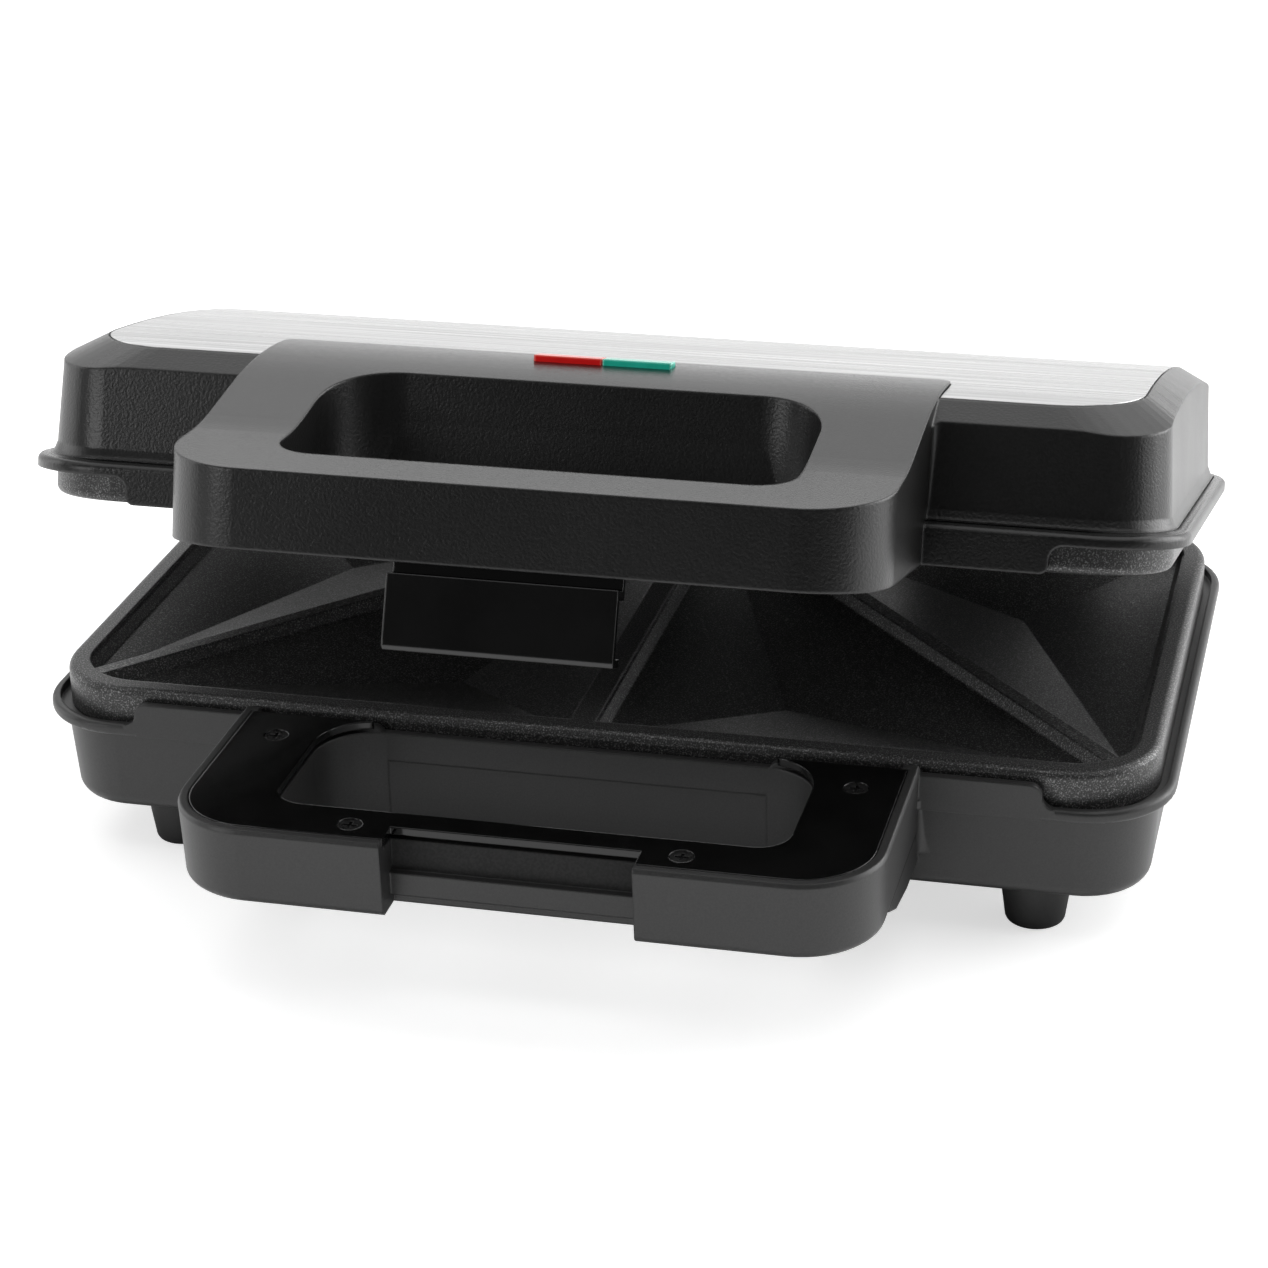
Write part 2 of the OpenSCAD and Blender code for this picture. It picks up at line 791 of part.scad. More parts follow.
module plate() {
    difference() {
        union() {
            skin(plate_w, plate_d, plate_r)
                rim_profile();
            slab(plate_top - pocket_edge - plate_t, plate_top)
                rrect(plate_w - 2 * rim_w - 11, plate_d - 2 * rim_w - 11, plate_r - rim_w - 5.5);
            intersection() {
                half_pockets(plate_t, plate_t);
                slab(foot_h, plate_top - 1)
                    rrect(plate_w - 2 * rim_w + 2, plate_d - 2 * rim_w + 2, plate_r - rim_w + 1);
            }
            // seat of the heating element
            slab(pad_z, plate_top - pocket_edge)
                difference() {
                    rrect(2 * loop_x + element_d + 3, 2 * loop_y + element_d + 3, loop_r + element_d / 2 + 1.5);
                    rrect(2 * loop_x - element_d - 3, 2 * loop_y - element_d - 3, loop_r - element_d / 2 - 1.5);
                }
            // seat of the thermostat
            translate([0, thermo_y, pad_z])
                cylinder(h = plate_top - pocket_edge - pad_z, r = 11);
            plate_screw_spots()
                translate([0, 0, boss_z0])
                    cylinder(h = plate_top - pocket_edge - boss_z0, r = 4);
        }
        intersection() {
            union() {
                half_pockets(0, 0);
                for (m = [0, 1])
                    mirror([m, 0, 0])
                        translate([px0, -py1, plate_top - ridge_drop])
                            cube([leg_x, leg_y, 2 * ridge_drop]);
            }
            slab(foot_h, plate_top + 3)
                rrect(plate_w - 2 * rim_w, plate_d - 2 * rim_w, plate_r - rim_w);
        }
        plate_screw_spots()
            translate([0, 0, boss_z0 - 1])
                cylinder(h = 9, r = screw_d / 2 + screw_clear);
    }
}

thermo_y = 10;
thermo_r = 9;
thermo_h = 6.4;

module element() {
    z = pad_z - element_d / 2 - 0.1;
    difference() {
        skin(2 * loop_x, 2 * loop_y, loop_r)
            translate([0, z])
                circle(d = element_d);
        translate([-16, loop_y - 10, z - 10])
            cube([32, 20, 20]);
    }
    for (m = [0, 1])
        mirror([m, 0, 0])
            along_x(8, 17, loop_y, z, 1.6);
}

module reflector() {
    difference() {
        slab(reflector_z, reflector_z + 4)
            rrect(plate_w - 40, plate_d - 20, 12);
        slab(boss_z0, reflector_z + 5)
            rrect(plate_w - 40 - 2 * reflector_t, plate_d - 20 - 2 * reflector_t, 12 - reflector_t);
        plate_screw_spots()
            translate([0, 0, reflector_z - 1])
                cylinder(h = 4, r = screw_d / 2 + 0.2);
    }
}

// Screws from below, through post and reflector, into the plate's bosses
module plate_screws() {
    plate_screw_spots()
        translate([0, 0, 2 * (foot_h + 3.2)])
            mirror([0, 0, 1])
                screw(foot_h + 3.2, boss_z0 - foot_h + 3, 1.8);
}

module thermostat() {
    translate([0, thermo_y, pad_z - 0.1 - thermo_h])
        cylinder(h = thermo_h, r = thermo_r);
    for (s = [-1, 1])
        translate([s * 7 - 0.5, thermo_y - 2.5, pad_z - 0.1 - thermo_h - 0.3])
            cube([1, 5, 1]);
}

module lower_plate() {
    color([0.2, 0.2, 0.21])
        plate();
}

module lower_element() {
    color([0.5, 0.5, 0.48])
        element();
}

module lower_reflector() {
    color([0.75, 0.75, 0.75])
        reflector();
}

module lower_plate_screws() {
    color([0.6, 0.6, 0.6])
        plate_screws();
}

module lower_thermostat() {
    color([0.85, 0.82, 0.75])
        thermostat();
}

module thermal_fuse() {
    color([0.9, 0.9, 0.85])
        along_x(24, 40, thermo_y, boss_z0 + 2.05, 2);
}

module terminal_block() {
    z0 = rear_box_z0 + wall_t;
    color([0.9, 0.9, 0.88])
        difference() {
            translate([-14, rear_in_y - 16, z0])
                cube([28, 11, 10]);
            for (x = [-9, 0, 9])
                translate([x, rear_in_y - 10.5, z0 + 4])
                    cylinder(h = 10, r = 1.8);
        }
}

lead_r = 1.1;
lead_z = rear_box_z0 + wall_t + 5;

module base_leads() {
    ez = pad_z - element_d / 2 - 0.1;
    color([0.85, 0.3, 0.2])
        for (s = [-1, 1]) {
            wire([s * 9, rear_in_y - 16.6, lead_z], [s * 9, hy - 14, ez], lead_r);
            wire([s * 9, hy - 14, ez], [s * 9, loop_y + 1.6 + lead_r, ez], lead_r);
        }
    color([0.9, 0.85, 0.2])
        along_y(0, rear_in_y - 4.8, rear_in_y - 2.2, gland_z, lead_r);
}

module cord_gland() {
    color([0.1, 0.1, 0.1])
        translate([0, 0, gland_z])
            rotate([-90, 0, 0])
                rotate_extrude()
                    polygon([[cord_bore_d / 2, rear_in_y - 2], [gland_seat_r + 1.6, rear_in_y - 2],
                             [gland_seat_r + 1.6, rear_in_y], [gland_seat_r - 0.1, rear_in_y],
                             [gland_seat_r - 0.1, gland_y0], [gland_seat_r + 2.2, gland_y0],
                             [gland_seat_r + 2.2, gland_y0 + 2], [gland_seat_r, gland_y0 + 2],
                             [gland_seat_r - 0.8, rear_y - 1], [gland_seat_r - 1.6, rear_y],
                             [cord_bore_d / 2, rear_y]]);
}

// ---------- lid housing ----------

lid_core = 13;
lid_tan = tan(lid_draft);

module lid_profile() {
    w = lid_blank_z - lid_wall_z;
    // wall with draft
    polygon([[-lid_core, cut_z], [-3, cut_z], [-3, lid_edge_z], [-lid_in_low, lid_wall_z],
             [-lid_in_low - w * lid_tan, lid_blank_z], [-lid_core, lid_blank_z]]);
    // flange: one bead, rounded on top, upright below
    translate([-lid_in_low - 1, cut_z])
        square([lid_in_low + 1, lid_edge_z - cut_z]);
    translate([-lid_in_low - 1, cut_z])
        square([lid_in_low + 1 - lid_edge_r, lid_edge_top - cut_z]);
    translate([-lid_edge_r, lid_edge_z])
        circle(r = lid_edge_r);
    // concave fillet from flange to wall
    difference() {
        translate([-lid_in_low - 1, lid_edge_z])
            square([lid_fillet_r + 1, lid_wall_z - lid_edge_z]);
        translate([-lid_in_low + lid_fillet_r, lid_wall_z])
            circle(r = lid_fillet_r);
    }
}

// Points of a rounded rectangle whose height follows the crown
function arc_pts(cx, cy, r, a0, n) =
    [for (i = [0:n]) [cx + r * cos(a0 + 90 * i / n), cy + r * sin(a0 + 90 * i / n)]];
function side_pts(x, y0, y1, n) =
    [for (i = [1:n - 1]) [x, y0 + (y1 - y0) * i / n]];
function outline(w, d, r, n, m) =
    concat(arc_pts(w / 2 - r, -d / 2 + r, r, -90, n), side_pts(w / 2, -d / 2 + r, d / 2 - r, m),
           arc_pts(w / 2 - r, d / 2 - r, r, 0, n), arc_pts(-w / 2 + r, d / 2 - r, r, 90, n),
           side_pts(-w / 2, d / 2 - r, -d / 2 + r, m), arc_pts(-w / 2 + r, -d / 2 + r, r, 180, n));
function crowned(pts, z0) = [for (p = pts) [p[0], p[1], z0 - p[1] * p[1] / (2 * crown_r)]];
function flat(pts, z) = [for (p = pts) [p[0], p[1], z]];

band_out = 2;
band_n = 10;
band_m = 8;

// Everything under the sloping band round the steel panel
module band_space() {
    a = outline(flange_w - 2 * steel_in + 2 * steel_gap - 0.1, flange_d - 2 * steel_in + 2 * steel_gap - 0.1,
                steel_r + steel_gap, band_n, band_m);
    b = outline(flange_w + 2 * band_out, flange_d + 2 * band_out, flange_r + band_out, band_n, band_m);
    n = len(a);
    pts = concat(flat(b, 0), crowned(b, crown_z - 8.2), crowned(a, crown_z), flat(a, crown_z + 20));
    polyhedron(
        points = pts,
        faces = concat(
            [[for (i = [0:n - 1]) i]],
            [[for (i = [n - 1:-1:0]) 3 * n + i]],
            [for (i = [0:n - 1]) [n + i, n + (i + 1) % n, (i + 1) % n, i]],
            [for (i = [0:n - 1]) [2 * n + (i + 1) % n, n + (i + 1) % n, n + i]],
            [for (i = [0:n - 1]) [2 * n + i, 2 * n + (i + 1) % n, n + i]],
            [for (i = [0:n - 1]) [3 * n + i, 3 * n + (i + 1) % n, 2 * n + (i + 1) % n, 2 * n + i]]));
}

// Crown: a cylinder lying along X
module crown(drop) {
    translate([0, 0, crown_z - crown_r])
        rotate([0, 90, 0])
            cylinder(h = 2 * flange_w, r = crown_r - drop, center = true, $fn = 720);
}

// Front skirt with S-shaped ends
module skirt2d() {
    r1 = 2;
    r2 = 3.5;
    top = lid_edge_z + 0.5;
    translate([-skirt_hw, skirt_z + r1])
        square([2 * skirt_hw, top - skirt_z - r1]);
    translate([-skirt_hw + r1, skirt_z])
        square([2 * (skirt_hw - r1), 5]);
    for (s = [-1, 1])
        translate([s * (skirt_hw - r1), skirt_z + r1])
            circle(r = r1);
    for (m = [0, 1])
        mirror([m, 0])
            difference() {
                translate([skirt_hw - eps, cut_z - r2])
                    square([r2, r2 + 0.5]);
                translate([skirt_hw + r2, cut_z - r2])
                    circle(r = r2);
            }
}

// ---------- upper handle ----------

shoulder_r = 118;
shoulder_a = 21.4;
slope_a = 10.1;
dip_r = 60;
sh_c = [uh_back + 2.5, crown_z - 1.4 - shoulder_r];
sh_p = [sh_c[0] - shoulder_r * sin(shoulder_a), sh_c[1] + shoulder_r * cos(shoulder_a)];
dip_y = (uh_front_top - sh_p[1] + sh_p[0] * tan(shoulder_a) - uh_front * tan(slope_a))
        / (tan(shoulder_a) - tan(slope_a));
dip_p = [dip_y, sh_p[1] + (dip_y - sh_p[0]) * tan(shoulder_a)];
dip_l = dip_r * tan((shoulder_a - slope_a) / 2);
dip_a = dip_p - dip_l * [cos(slope_a), sin(slope_a)];
dip_b = dip_p + dip_l * [cos(shoulder_a), sin(shoulder_a)];
dip_c = dip_a + dip_r * [-sin(slope_a), cos(slope_a)];

// Side view of the upper handle: gentle slope, concave turn, convex shoulder
module uh_side() {
    polygon([[uh_front, uh_z0], [uh_front, uh_front_top], dip_p, sh_p, [sh_p[0], uh_z0]]);
    difference() {
        polygon([dip_a - [0, 0.5], dip_p - [0, 0.5], dip_b - [0, 0.5], dip_b, dip_a]);
        translate(dip_c)
            circle(r = dip_r + 0.02, $fn = 360);
    }
    intersection() {
        translate(sh_c)
            circle(r = shoulder_r + 0.02, $fn = 360);
        translate([sh_p[0] - 4, uh_z0])
            square([uh_back - sh_p[0] + 6, 60]);
    }
}

// Plan of the handle's end on the steel panel, from y0 back
module uh_back2d(grow, y0) {
    translate([-(uh_hw + grow), y0])
        square([2 * (uh_hw + grow), uh_back - uh_back_r - y0]);
    translate([-(uh_hw - uh_back_r), y0])
        square([2 * (uh_hw - uh_back_r), uh_back + grow - y0]);
    for (sx = [-1, 1])
        translate([sx * (uh_hw - uh_back_r), uh_back - uh_back_r])
            circle(r = uh_back_r + grow);
}

module uh_solid() {
    intersection() {
        slab(uh_z0 - 1, crown_z + 5)
            union() {
                handle2d(uh_hw, uh_front, -hy, handle_r);
                uh_back2d(0, -hy - 1);
            }
        side_on(0, 2 * uh_hw + 20)
            uh_side();
    }
}

// Plan of the hollow in both arms, set in from the handle's outline and from the grip opening
module uh_hollow2d(in) {
    difference() {
        handle2d(uh_hw - in, uh_front + in, uh_seat_back + uh_seat_in - in, handle_r - in);
        opening2d(uh_open_hw + in, uh_open_front - in, 0, open_r_front + 1.5 + in, 1);
        translate([-(uh_mid_hw + in), uh_front])
            square([2 * (uh_mid_hw + in), uh_open_front - uh_front]);
    }
}

module uh_screw_spots() {
    for (sx = [-1, 1])
        for (p = [uh_side_screw, uh_bar_screw])
            translate([sx * p[0], p[1], 0])
                children();
}

// Hollow of the arms under the sloping top, with screw posts, and the seat of the closing plates
module uh_hollow() {
    slab(uh_z0 - 1, uh_z0 + uh_cover_t)
        uh_hollow2d(uh_seat_in);
    difference() {
        intersection() {
            slab(uh_z0, crown_z)
                uh_hollow2d(uh_wall);
            side_on(0, 2 * uh_hw)
                polygon([[uh_front, uh_z0], [uh_front, uh_front_top - uh_wall],
                         [-hy, uh_front_top - uh_wall - (hy + uh_front) * tan(slope_a)], [-hy, uh_z0]]);
        }
        uh_screw_spots()
            translate([0, 0, uh_z0 + uh_cover_t])
                cylinder(h = 40, r = 3.4);
    }
    uh_screw_spots()
        translate([0, 0, uh_z0])
            cylinder(h = 11, r = screw_d / 2 + screw_clear);
}

module upper_handle() {
    difference() {
        uh_solid();
        slab(uh_z0 - 2, crown_z + 6)
            opening2d(uh_open_hw, uh_open_front, uh_open_back, open_r_front + 1.5, open_r_back + 3);
        uh_hollow();
        // pocket of the latch
        translate([-clip_w / 2 - 1, uh_front + 1.6, uh_z0 - 2])
            cube([clip_w + 2, 11, 10.5]);
        along_x(-clip_w / 2 - 5, clip_w / 2 + 5, pin_y, pin_z, latch_pin_d / 2 + pin_clear);
    }
}

lamp_top = crown_z - 6.6;
lamp_hw = window_w / 2 + 10;

module hinge_cheek2d() {
    c = [hinge_y, hinge_z];
    p = [hy + 3, lid_ceiling + 3];
    q = [hy - 3, lid_edge_z + 0.5];
    polygon([p, tangent(p, c, knuckle_r, -1), c, tangent(q, c, knuckle_r, 1), q, [hy - 9, lid_edge_z + 0.5],
             [hy - 9, lid_ceiling + 3]]);
    translate(c)
        circle(r = knuckle_r);
}

module cheeks() {
    for (m = [0, 1])
        mirror([m, 0, 0])
            for (s = [-1, 1])
                side_on(knuckle_x + s * (knuckle_w / 2 + side_gap + cheek_w / 2), cheek_w)
                    hinge_cheek2d();
}

// Footprint of the handle on the steel panel
module handle_seat(grow) {
    slab(crown_z - 20, crown_z + 20)
        uh_back2d(grow, -hy);
}

module steel_space(grow, drop) {
    difference() {
        slab(crown_z - 15, crown_z + 20)
            rrect(flange_w - 2 * steel_in + 2 * grow, flange_d - 2 * steel_in + 2 * grow, steel_r + grow);
        crown(drop);
    }
}

module lid_housing() {
    color([0.16, 0.16, 0.16])
        difference() {
            union() {
                difference() {
                    intersection() {
                        union() {
                            slab(cut_z, lid_blank_z)
                                rrect(flange_w - 2 * lid_core + 1, flange_d - 2 * lid_core + 1,
                                      flange_r - lid_core + 0.5);
                            skin(flange_w, flange_d, flange_r)
                                lid_profile();
                            slab(lid_edge_z, lid_blank_z)
                                root2d(uh_hw - 0.1, uh_open_back + 0.7, 3);
                        }
                        band_space();
                    }
                    steel_space(steel_gap, steel_t + 0.1);
                }
                front_on(-hy, 3.1)
                    skirt2d();
                upper_handle();
                cheeks();
            }
            // seat of the upper plate
            slab(close_z - 10, lid_shelf_z)
                rrect(flange_w - 6, flange_d - 6, flange_r - 2);
            // hollow of the lid, up to the roof that follows the crown
            difference() {
                union() {
                    slab(lid_shelf_z - 1, lid_ceiling)
                        rrect(flange_w - 18, flange_d - 18, flange_r - 8);
                    intersection() {
                        slab(lid_ceiling - 1, crown_z)
                            rrect(flange_w - 2 * steel_in - 8, flange_d - 2 * steel_in - 8, steel_r - 4);
                        crown(steel_t + 0.1 + roof_t);
                    }
                }
                over()
                    plate_screw_spots()
                        translate([0, 0, 2 * close_z - crown_z - 1])
                            cylinder(h = reflector_z + crown_z + 1 - 2 * close_z, r = 5);
                translate([-lamp_hw - 2, window_y - 10, lid_ceiling])
                    cube([2 * lamp_hw + 4, 20, 20]);
            }
            // plate screws, from under the steel panel
            plate_screw_spots() {
                translate([0, 0, lid_ceiling + 1.6])
                    cylinder(h = 20, r = screw_head_d / 2 + 0.5);
                translate([0, 0, lid_ceiling - 10])
                    cylinder(h = 20, r = screw_d / 2 + screw_clear);
            }
            // indicators
            translate([-lamp_hw, window_y - 8, lid_ceiling - 1])
                cube([2 * lamp_hw, 16, lamp_top - lid_ceiling + 1]);
            translate([-window_w / 2, window_y - window_d / 2, lamp_top - 1])
                cube([window_w, window_d, 20]);
            // hinge pins
            along_x(-knuckle_x - knuckle_w * 2, knuckle_x + knuckle_w * 2, hinge_y, hinge_z,
                    hinge_pin_d / 2 + 0.01);
        }
}

module steel_panel() {
    color([0.8, 0.8, 0.8])
        difference() {
            intersection() {
                steel_space(0, steel_t);
                crown(0);
            }
            handle_seat(trim_clear);
        }
}

module lens(x0, x1) {
    top = crown_z - 1.4 + 0.7;
    translate([x0, window_y - window_d / 2 + 0.1, lamp_top - 0.5])
        cube([x1 - x0, window_d - 0.2, top - lamp_top + 0.5]);
    translate([x0, window_y - window_d / 2 - 1, lamp_top - 1.6])
        cube([x1 - x0, window_d + 2, 1.5]);
}

module red_lens() {
    color([0.85, 0.15, 0.1])
        lens(-window_w / 2 + 0.1, -0.2);
}

module green_lens() {
    color([0.05, 0.6, 0.45])
        lens(0.2, window_w / 2 - 0.1);
}

module lamp_holder() {
    z = lamp_top - 7;
    color([0.7, 0.6, 0.3]) {
        translate([-lamp_hw + 1, window_y - 5, z])
            cube([2 * lamp_hw - 2, 10, 1.2]);
        for (s = [-1, 1])
            translate([s * (lamp_hw - 4), window_y, z + 1])
                cylinder(h = lamp_top - z - 1, r = 2);
    }
}

module lamps() {
    z = lamp_top - 7 + 1.2;
    color([0.95, 0.6, 0.4])
        for (s = [-1, 1])
            translate([s * window_w / 4, window_y, z]) {
                cylinder(h = 2, r = 2);
                translate([0, 0, 2])
                    sphere(r = 2);
            }
}

module upper_plate() {
    color([0.2, 0.2, 0.21])
        over()
            plate();
}

module upper_handle_covers() {
    color([0.1, 0.1, 0.1])
        difference() {
            slab(uh_z0, uh_z0 + uh_cover_t)
                uh_hollow2d(uh_seat_in + trim_clear);
            uh_screw_spots() {
                translate([0, 0, uh_z0 - 1])
                    cylinder(h = uh_cover_t + 2, r = screw_d / 2 + 0.3);
                translate([0, 0, uh_z0 - 1])
                    cylinder(h = 2.3, r = screw_head_d / 2 + 0.15);
            }
        }
}

module upper_cover_screws() {
    color([0.3, 0.3, 0.3])
        uh_screw_spots()
            translate([0, 0, 2 * (uh_z0 + 1.3)])
                mirror([0, 0, 1])
                    screw(uh_z0 + 1.3, 8, 1.15);
}

module upper_element() {
    color([0.5, 0.5, 0.48])
        over()
            element();
}

module upper_reflector() {
    color([0.75, 0.75, 0.75])
        over()
            reflector();
}

module upper_plate_screws() {
    color([0.6, 0.6, 0.6])
        plate_screw_spots()
            screw(lid_ceiling + 1.6, lid_ceiling + 1.6 - (2 * close_z - boss_z0) + 6, 1.8);
}

module upper_thermostat() {
    color([0.85, 0.82, 0.75])
        over()
            thermostat();
}

module lid_leads() {
    ez = 2 * close_z - pad_z + element_d / 2 + 0.1;
    color([0.85, 0.3, 0.2])
        for (s = [-1, 1])
            wire([s * 9, hy - 14, ez], [s * 9, loop_y + 1.6 + lead_r, ez], lead_r);
}

module hinge_pins() {
    l = knuckle_w / 2 + side_gap + cheek_w;
    color([0.7, 0.7, 0.7])
        for (m = [0, 1])
            mirror([m, 0, 0]) {
                along_x(knuckle_x - l, knuckle_x + l, hinge_y, hinge_z, hinge_pin_d / 2);
                along_x(knuckle_x + l, knuckle_x + l + 1.5, hinge_y, hinge_z, hinge_pin_d / 2 + 1.5);
            }
}

module latch_pin() {
    color([0.7, 0.7, 0.7])
        along_x(-clip_w / 2 - 4.5, clip_w / 2 + 4.5, pin_y, pin_z, latch_pin_d / 2);
}

// ---------- latch clip ----------

module clip_side() {
    polygon([[uh_front, clip_top], [uh_front, clip_bot + 1], [uh_front + 1, clip_bot], [catch_tip, clip_bot],
             [catch_tip, catch_top - 0.6], [catch_tip - 0.6, catch_top], [uh_front + clip_t, catch_top],
             [uh_front + clip_t, clip_top - 2.2], [pin_y + 1, clip_top - 2.2], [pin_y + 1, pin_z],
             [pin_y - 1, pin_z], [pin_y - 1, clip_top]]);
    translate([pin_y, pin_z])
        circle(d = latch_pin_d + 2.6);
}

module latch_clip() {
    color([0.05, 0.05, 0.05])
        translate([0, pin_y, pin_z])
            rotate([-latch_rest, 0, 0])
                translate([0, -pin_y, -pin_z])
                    difference() {
                        side_on(0, clip_w)
                            clip_side();
                        along_x(-clip_w, clip_w, pin_y, pin_z, latch_pin_d / 2 + pin_clear);
                    }
}

// ---------- output ----------

translate([0, y_shift, 0]) {
    base_housing();
    lower_plate();
    lower_handle_cover();
    cover_screws();
    front_feet();
    rear_feet();
    lower_element();
    lower_reflector();
    lower_plate_screws();
    lower_thermostat();
    thermal_fuse();
    terminal_block();
    base_leads();
    cord_gland();
    lid_pose() {
        lid_housing();
        steel_panel();
        upper_plate();
        upper_handle_covers();
        upper_cover_screws();
        red_lens();
        green_lens();
        lamp_holder();
        lamps();
        upper_element();
        upper_reflector();
        upper_plate_screws();
        upper_thermostat();
        lid_leads();
        hinge_pins();
        latch_pin();
        latch_clip();
    }
}
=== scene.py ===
# %% [markdown]
# A sandwich toaster with its lid ajar. The solid shapes come from the CAD model,
# which is loaded here as a fixed frame: every plate, screw and handle is already
# in its place, in metres. What is left for Blender is how it looks: the grain of
# the lid, the brushed steel, the speckled non-stick coating, the gloss of the
# handle, and a soft studio round it all.

# %% Load the frame
import bpy
import math
from mathutils import Matrix, Vector

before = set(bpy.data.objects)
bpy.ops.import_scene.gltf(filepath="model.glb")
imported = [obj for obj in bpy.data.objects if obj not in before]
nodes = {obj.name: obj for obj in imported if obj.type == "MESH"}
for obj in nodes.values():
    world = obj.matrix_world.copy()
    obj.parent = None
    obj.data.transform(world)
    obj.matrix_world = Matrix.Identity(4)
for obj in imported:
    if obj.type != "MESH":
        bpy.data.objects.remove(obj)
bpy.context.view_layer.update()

print("pieces from the CAD model:", len(nodes))

# %% [markdown]
# Every finish below is a Principled shader fed by a few texture nodes. Three small
# helpers keep the node trees short to read: one makes an empty material with its
# shader, one adds a node and sets its values, and one feeds a socket, either from
# another node or with a plain value. A helper that adds a node hands it back with
# the name of the output that matters, so one helper's result feeds the next.

# %% Helpers for node materials
def new_finish(name):
    mat = bpy.data.materials.new(name)
    mat.use_nodes = True
    tree = mat.node_tree
    shader = next(n for n in tree.nodes if n.type == "BSDF_PRINCIPLED")
    return mat, tree, shader


def add(tree, kind, **values):
    node = tree.nodes.new(kind)
    for key, value in values.items():
        if hasattr(node, key):
            setattr(node, key, value)
        else:
            node.inputs[key.replace("_", " ")].default_value = value
    return node


def feed(tree, source, node, socket):
    if isinstance(source, tuple) and isinstance(source[0], bpy.types.Node):
        giver, out = source
        tree.links.new(giver.outputs[out], node.inputs[socket])
    else:
        node.inputs[socket].default_value = source


print("helpers ready")

# %% [markdown]
# The textures read object coordinates, so the grain is fixed to the piece and has
# a real size: a noise scale of 1000 is about one feature per millimetre. A colour
# ramp then turns the noise into tones or into roughness.

# %% Helpers for textures
def coordinates(tree, stretch=(1, 1, 1)):
    scale = add(tree, "ShaderNodeMapping", Scale=stretch)
    feed(tree, (add(tree, "ShaderNodeTexCoord"), "Object"), scale, "Vector")
    return scale, "Vector"


def noise(tree, where, scale, detail=2.0, rough=0.5):
    texture = add(
        tree, "ShaderNodeTexNoise", Scale=scale, Detail=detail, Roughness=rough)
    feed(tree, where, texture, "Vector")
    return texture, "Fac"


def ramp(tree, source, stops):
    node = add(tree, "ShaderNodeValToRGB")
    ends = node.color_ramp.elements
    for end, (position, colour) in zip(ends, (stops[0], stops[-1])):
        end.position = position
        end.color = colour
    for position, colour in stops[1:-1]:
        ends.new(position).color = colour
    feed(tree, source, node, "Fac")
    return node, "Color"


def grey(v):
    return (v, v, v, 1.0)


print("texture helpers ready")

# %% [markdown]
# Some finishes change from one place of a piece to another. A mask says where: it
# is a number between 0 and 1, made from a direction or a position by a map range,
# a compare or a multiply node, and a mix node uses it to go from one value to
# another.

# %% Helpers for masks
MIX_SOCKETS = {"FLOAT": (2, 3, 0), "RGBA": (6, 7, 2)}  # input A, input B, output


def span(tree, source, low, high, **more):
    node = add(tree, "ShaderNodeMapRange", From_Min=low, From_Max=high, **more)
    feed(tree, source, node, "Value")
    return node, "Result"


def maths(tree, operation, *sides):
    node = add(tree, "ShaderNodeMath", operation=operation)
    for socket, side in enumerate(sides):
        feed(tree, side, node, socket)
    return node, "Value"


def dot(tree, first, second):
    node = add(tree, "ShaderNodeVectorMath", operation="DOT_PRODUCT")
    feed(tree, first, node, 0)
    feed(tree, second, node, 1)
    return node, "Value"


def blend(tree, mask, low, high, kind="FLOAT"):
    node = add(tree, "ShaderNodeMix", data_type=kind)
    socket_a, socket_b, out = MIX_SOCKETS[kind]
    feed(tree, mask, node, 0)
    feed(tree, low, node, socket_a)
    feed(tree, high, node, socket_b)
    return node, out


def box_mask(tree, axes, limits):
    mask = None
    for axis, middle, reach in limits:
        here = maths(tree, "COMPARE", (axes, axis), middle, reach)
        mask = here if mask is None else maths(tree, "MULTIPLY", mask, here)
    return mask


def object_axes(tree):
    axes = add(tree, "ShaderNodeSeparateXYZ")
    feed(tree, (add(tree, "ShaderNodeTexCoord"), "Object"), axes, "Vector")
    return axes


print("mask helpers ready")

# %% [markdown]
# Moulded plastic never ends in a knife edge: the tool leaves a small radius, and
# that radius catches a thin line of light. The Bevel node bends the normals near
# an edge, as if it were rounded, without touching the mesh. It goes in front of
# the bump, so that the grain runs over the rounded edge as well.

# %% Rounded edges and grain in one normal
BEVEL_SAMPLES = 8


def rounded(tree, shader, radius, grain, height, distance=0.0001):
    edge = add(tree, "ShaderNodeBevel", samples=BEVEL_SAMPLES, Radius=radius)
    bump = add(tree, "ShaderNodeBump", Strength=height, Distance=distance)
    feed(tree, grain, bump, "Height")
    feed(tree, (edge, "Normal"), bump, "Normal")
    feed(tree, (bump, "Normal"), shader, "Normal")


print("edge radius comes from each finish")

# %% [markdown]
# The lid is a black plastic with a leathery, spark-eroded grain, about two thirds
# of a millimetre from one dimple to the next. It is nearly black when seen straight
# on and goes pale where it is seen at a low angle, so its colour is deep and what
# shows is the reflection. Surfaces that face up, such as the top of the handle,
# were polished finer in the mould: there the coarse grain fades, a fine one is left
# and the reflection is sharper. The lid stands open by 15.5 degrees, and "up" is
# meant as the lid's own up, so it is turned by that angle.

# %% Grained black plastic of the lid
LEATHER_SCALE = 1500
FINE_SCALE = 2200
lid_angle = math.radians(15.5)
lid_up = (0.0, math.sin(lid_angle), math.cos(lid_angle))

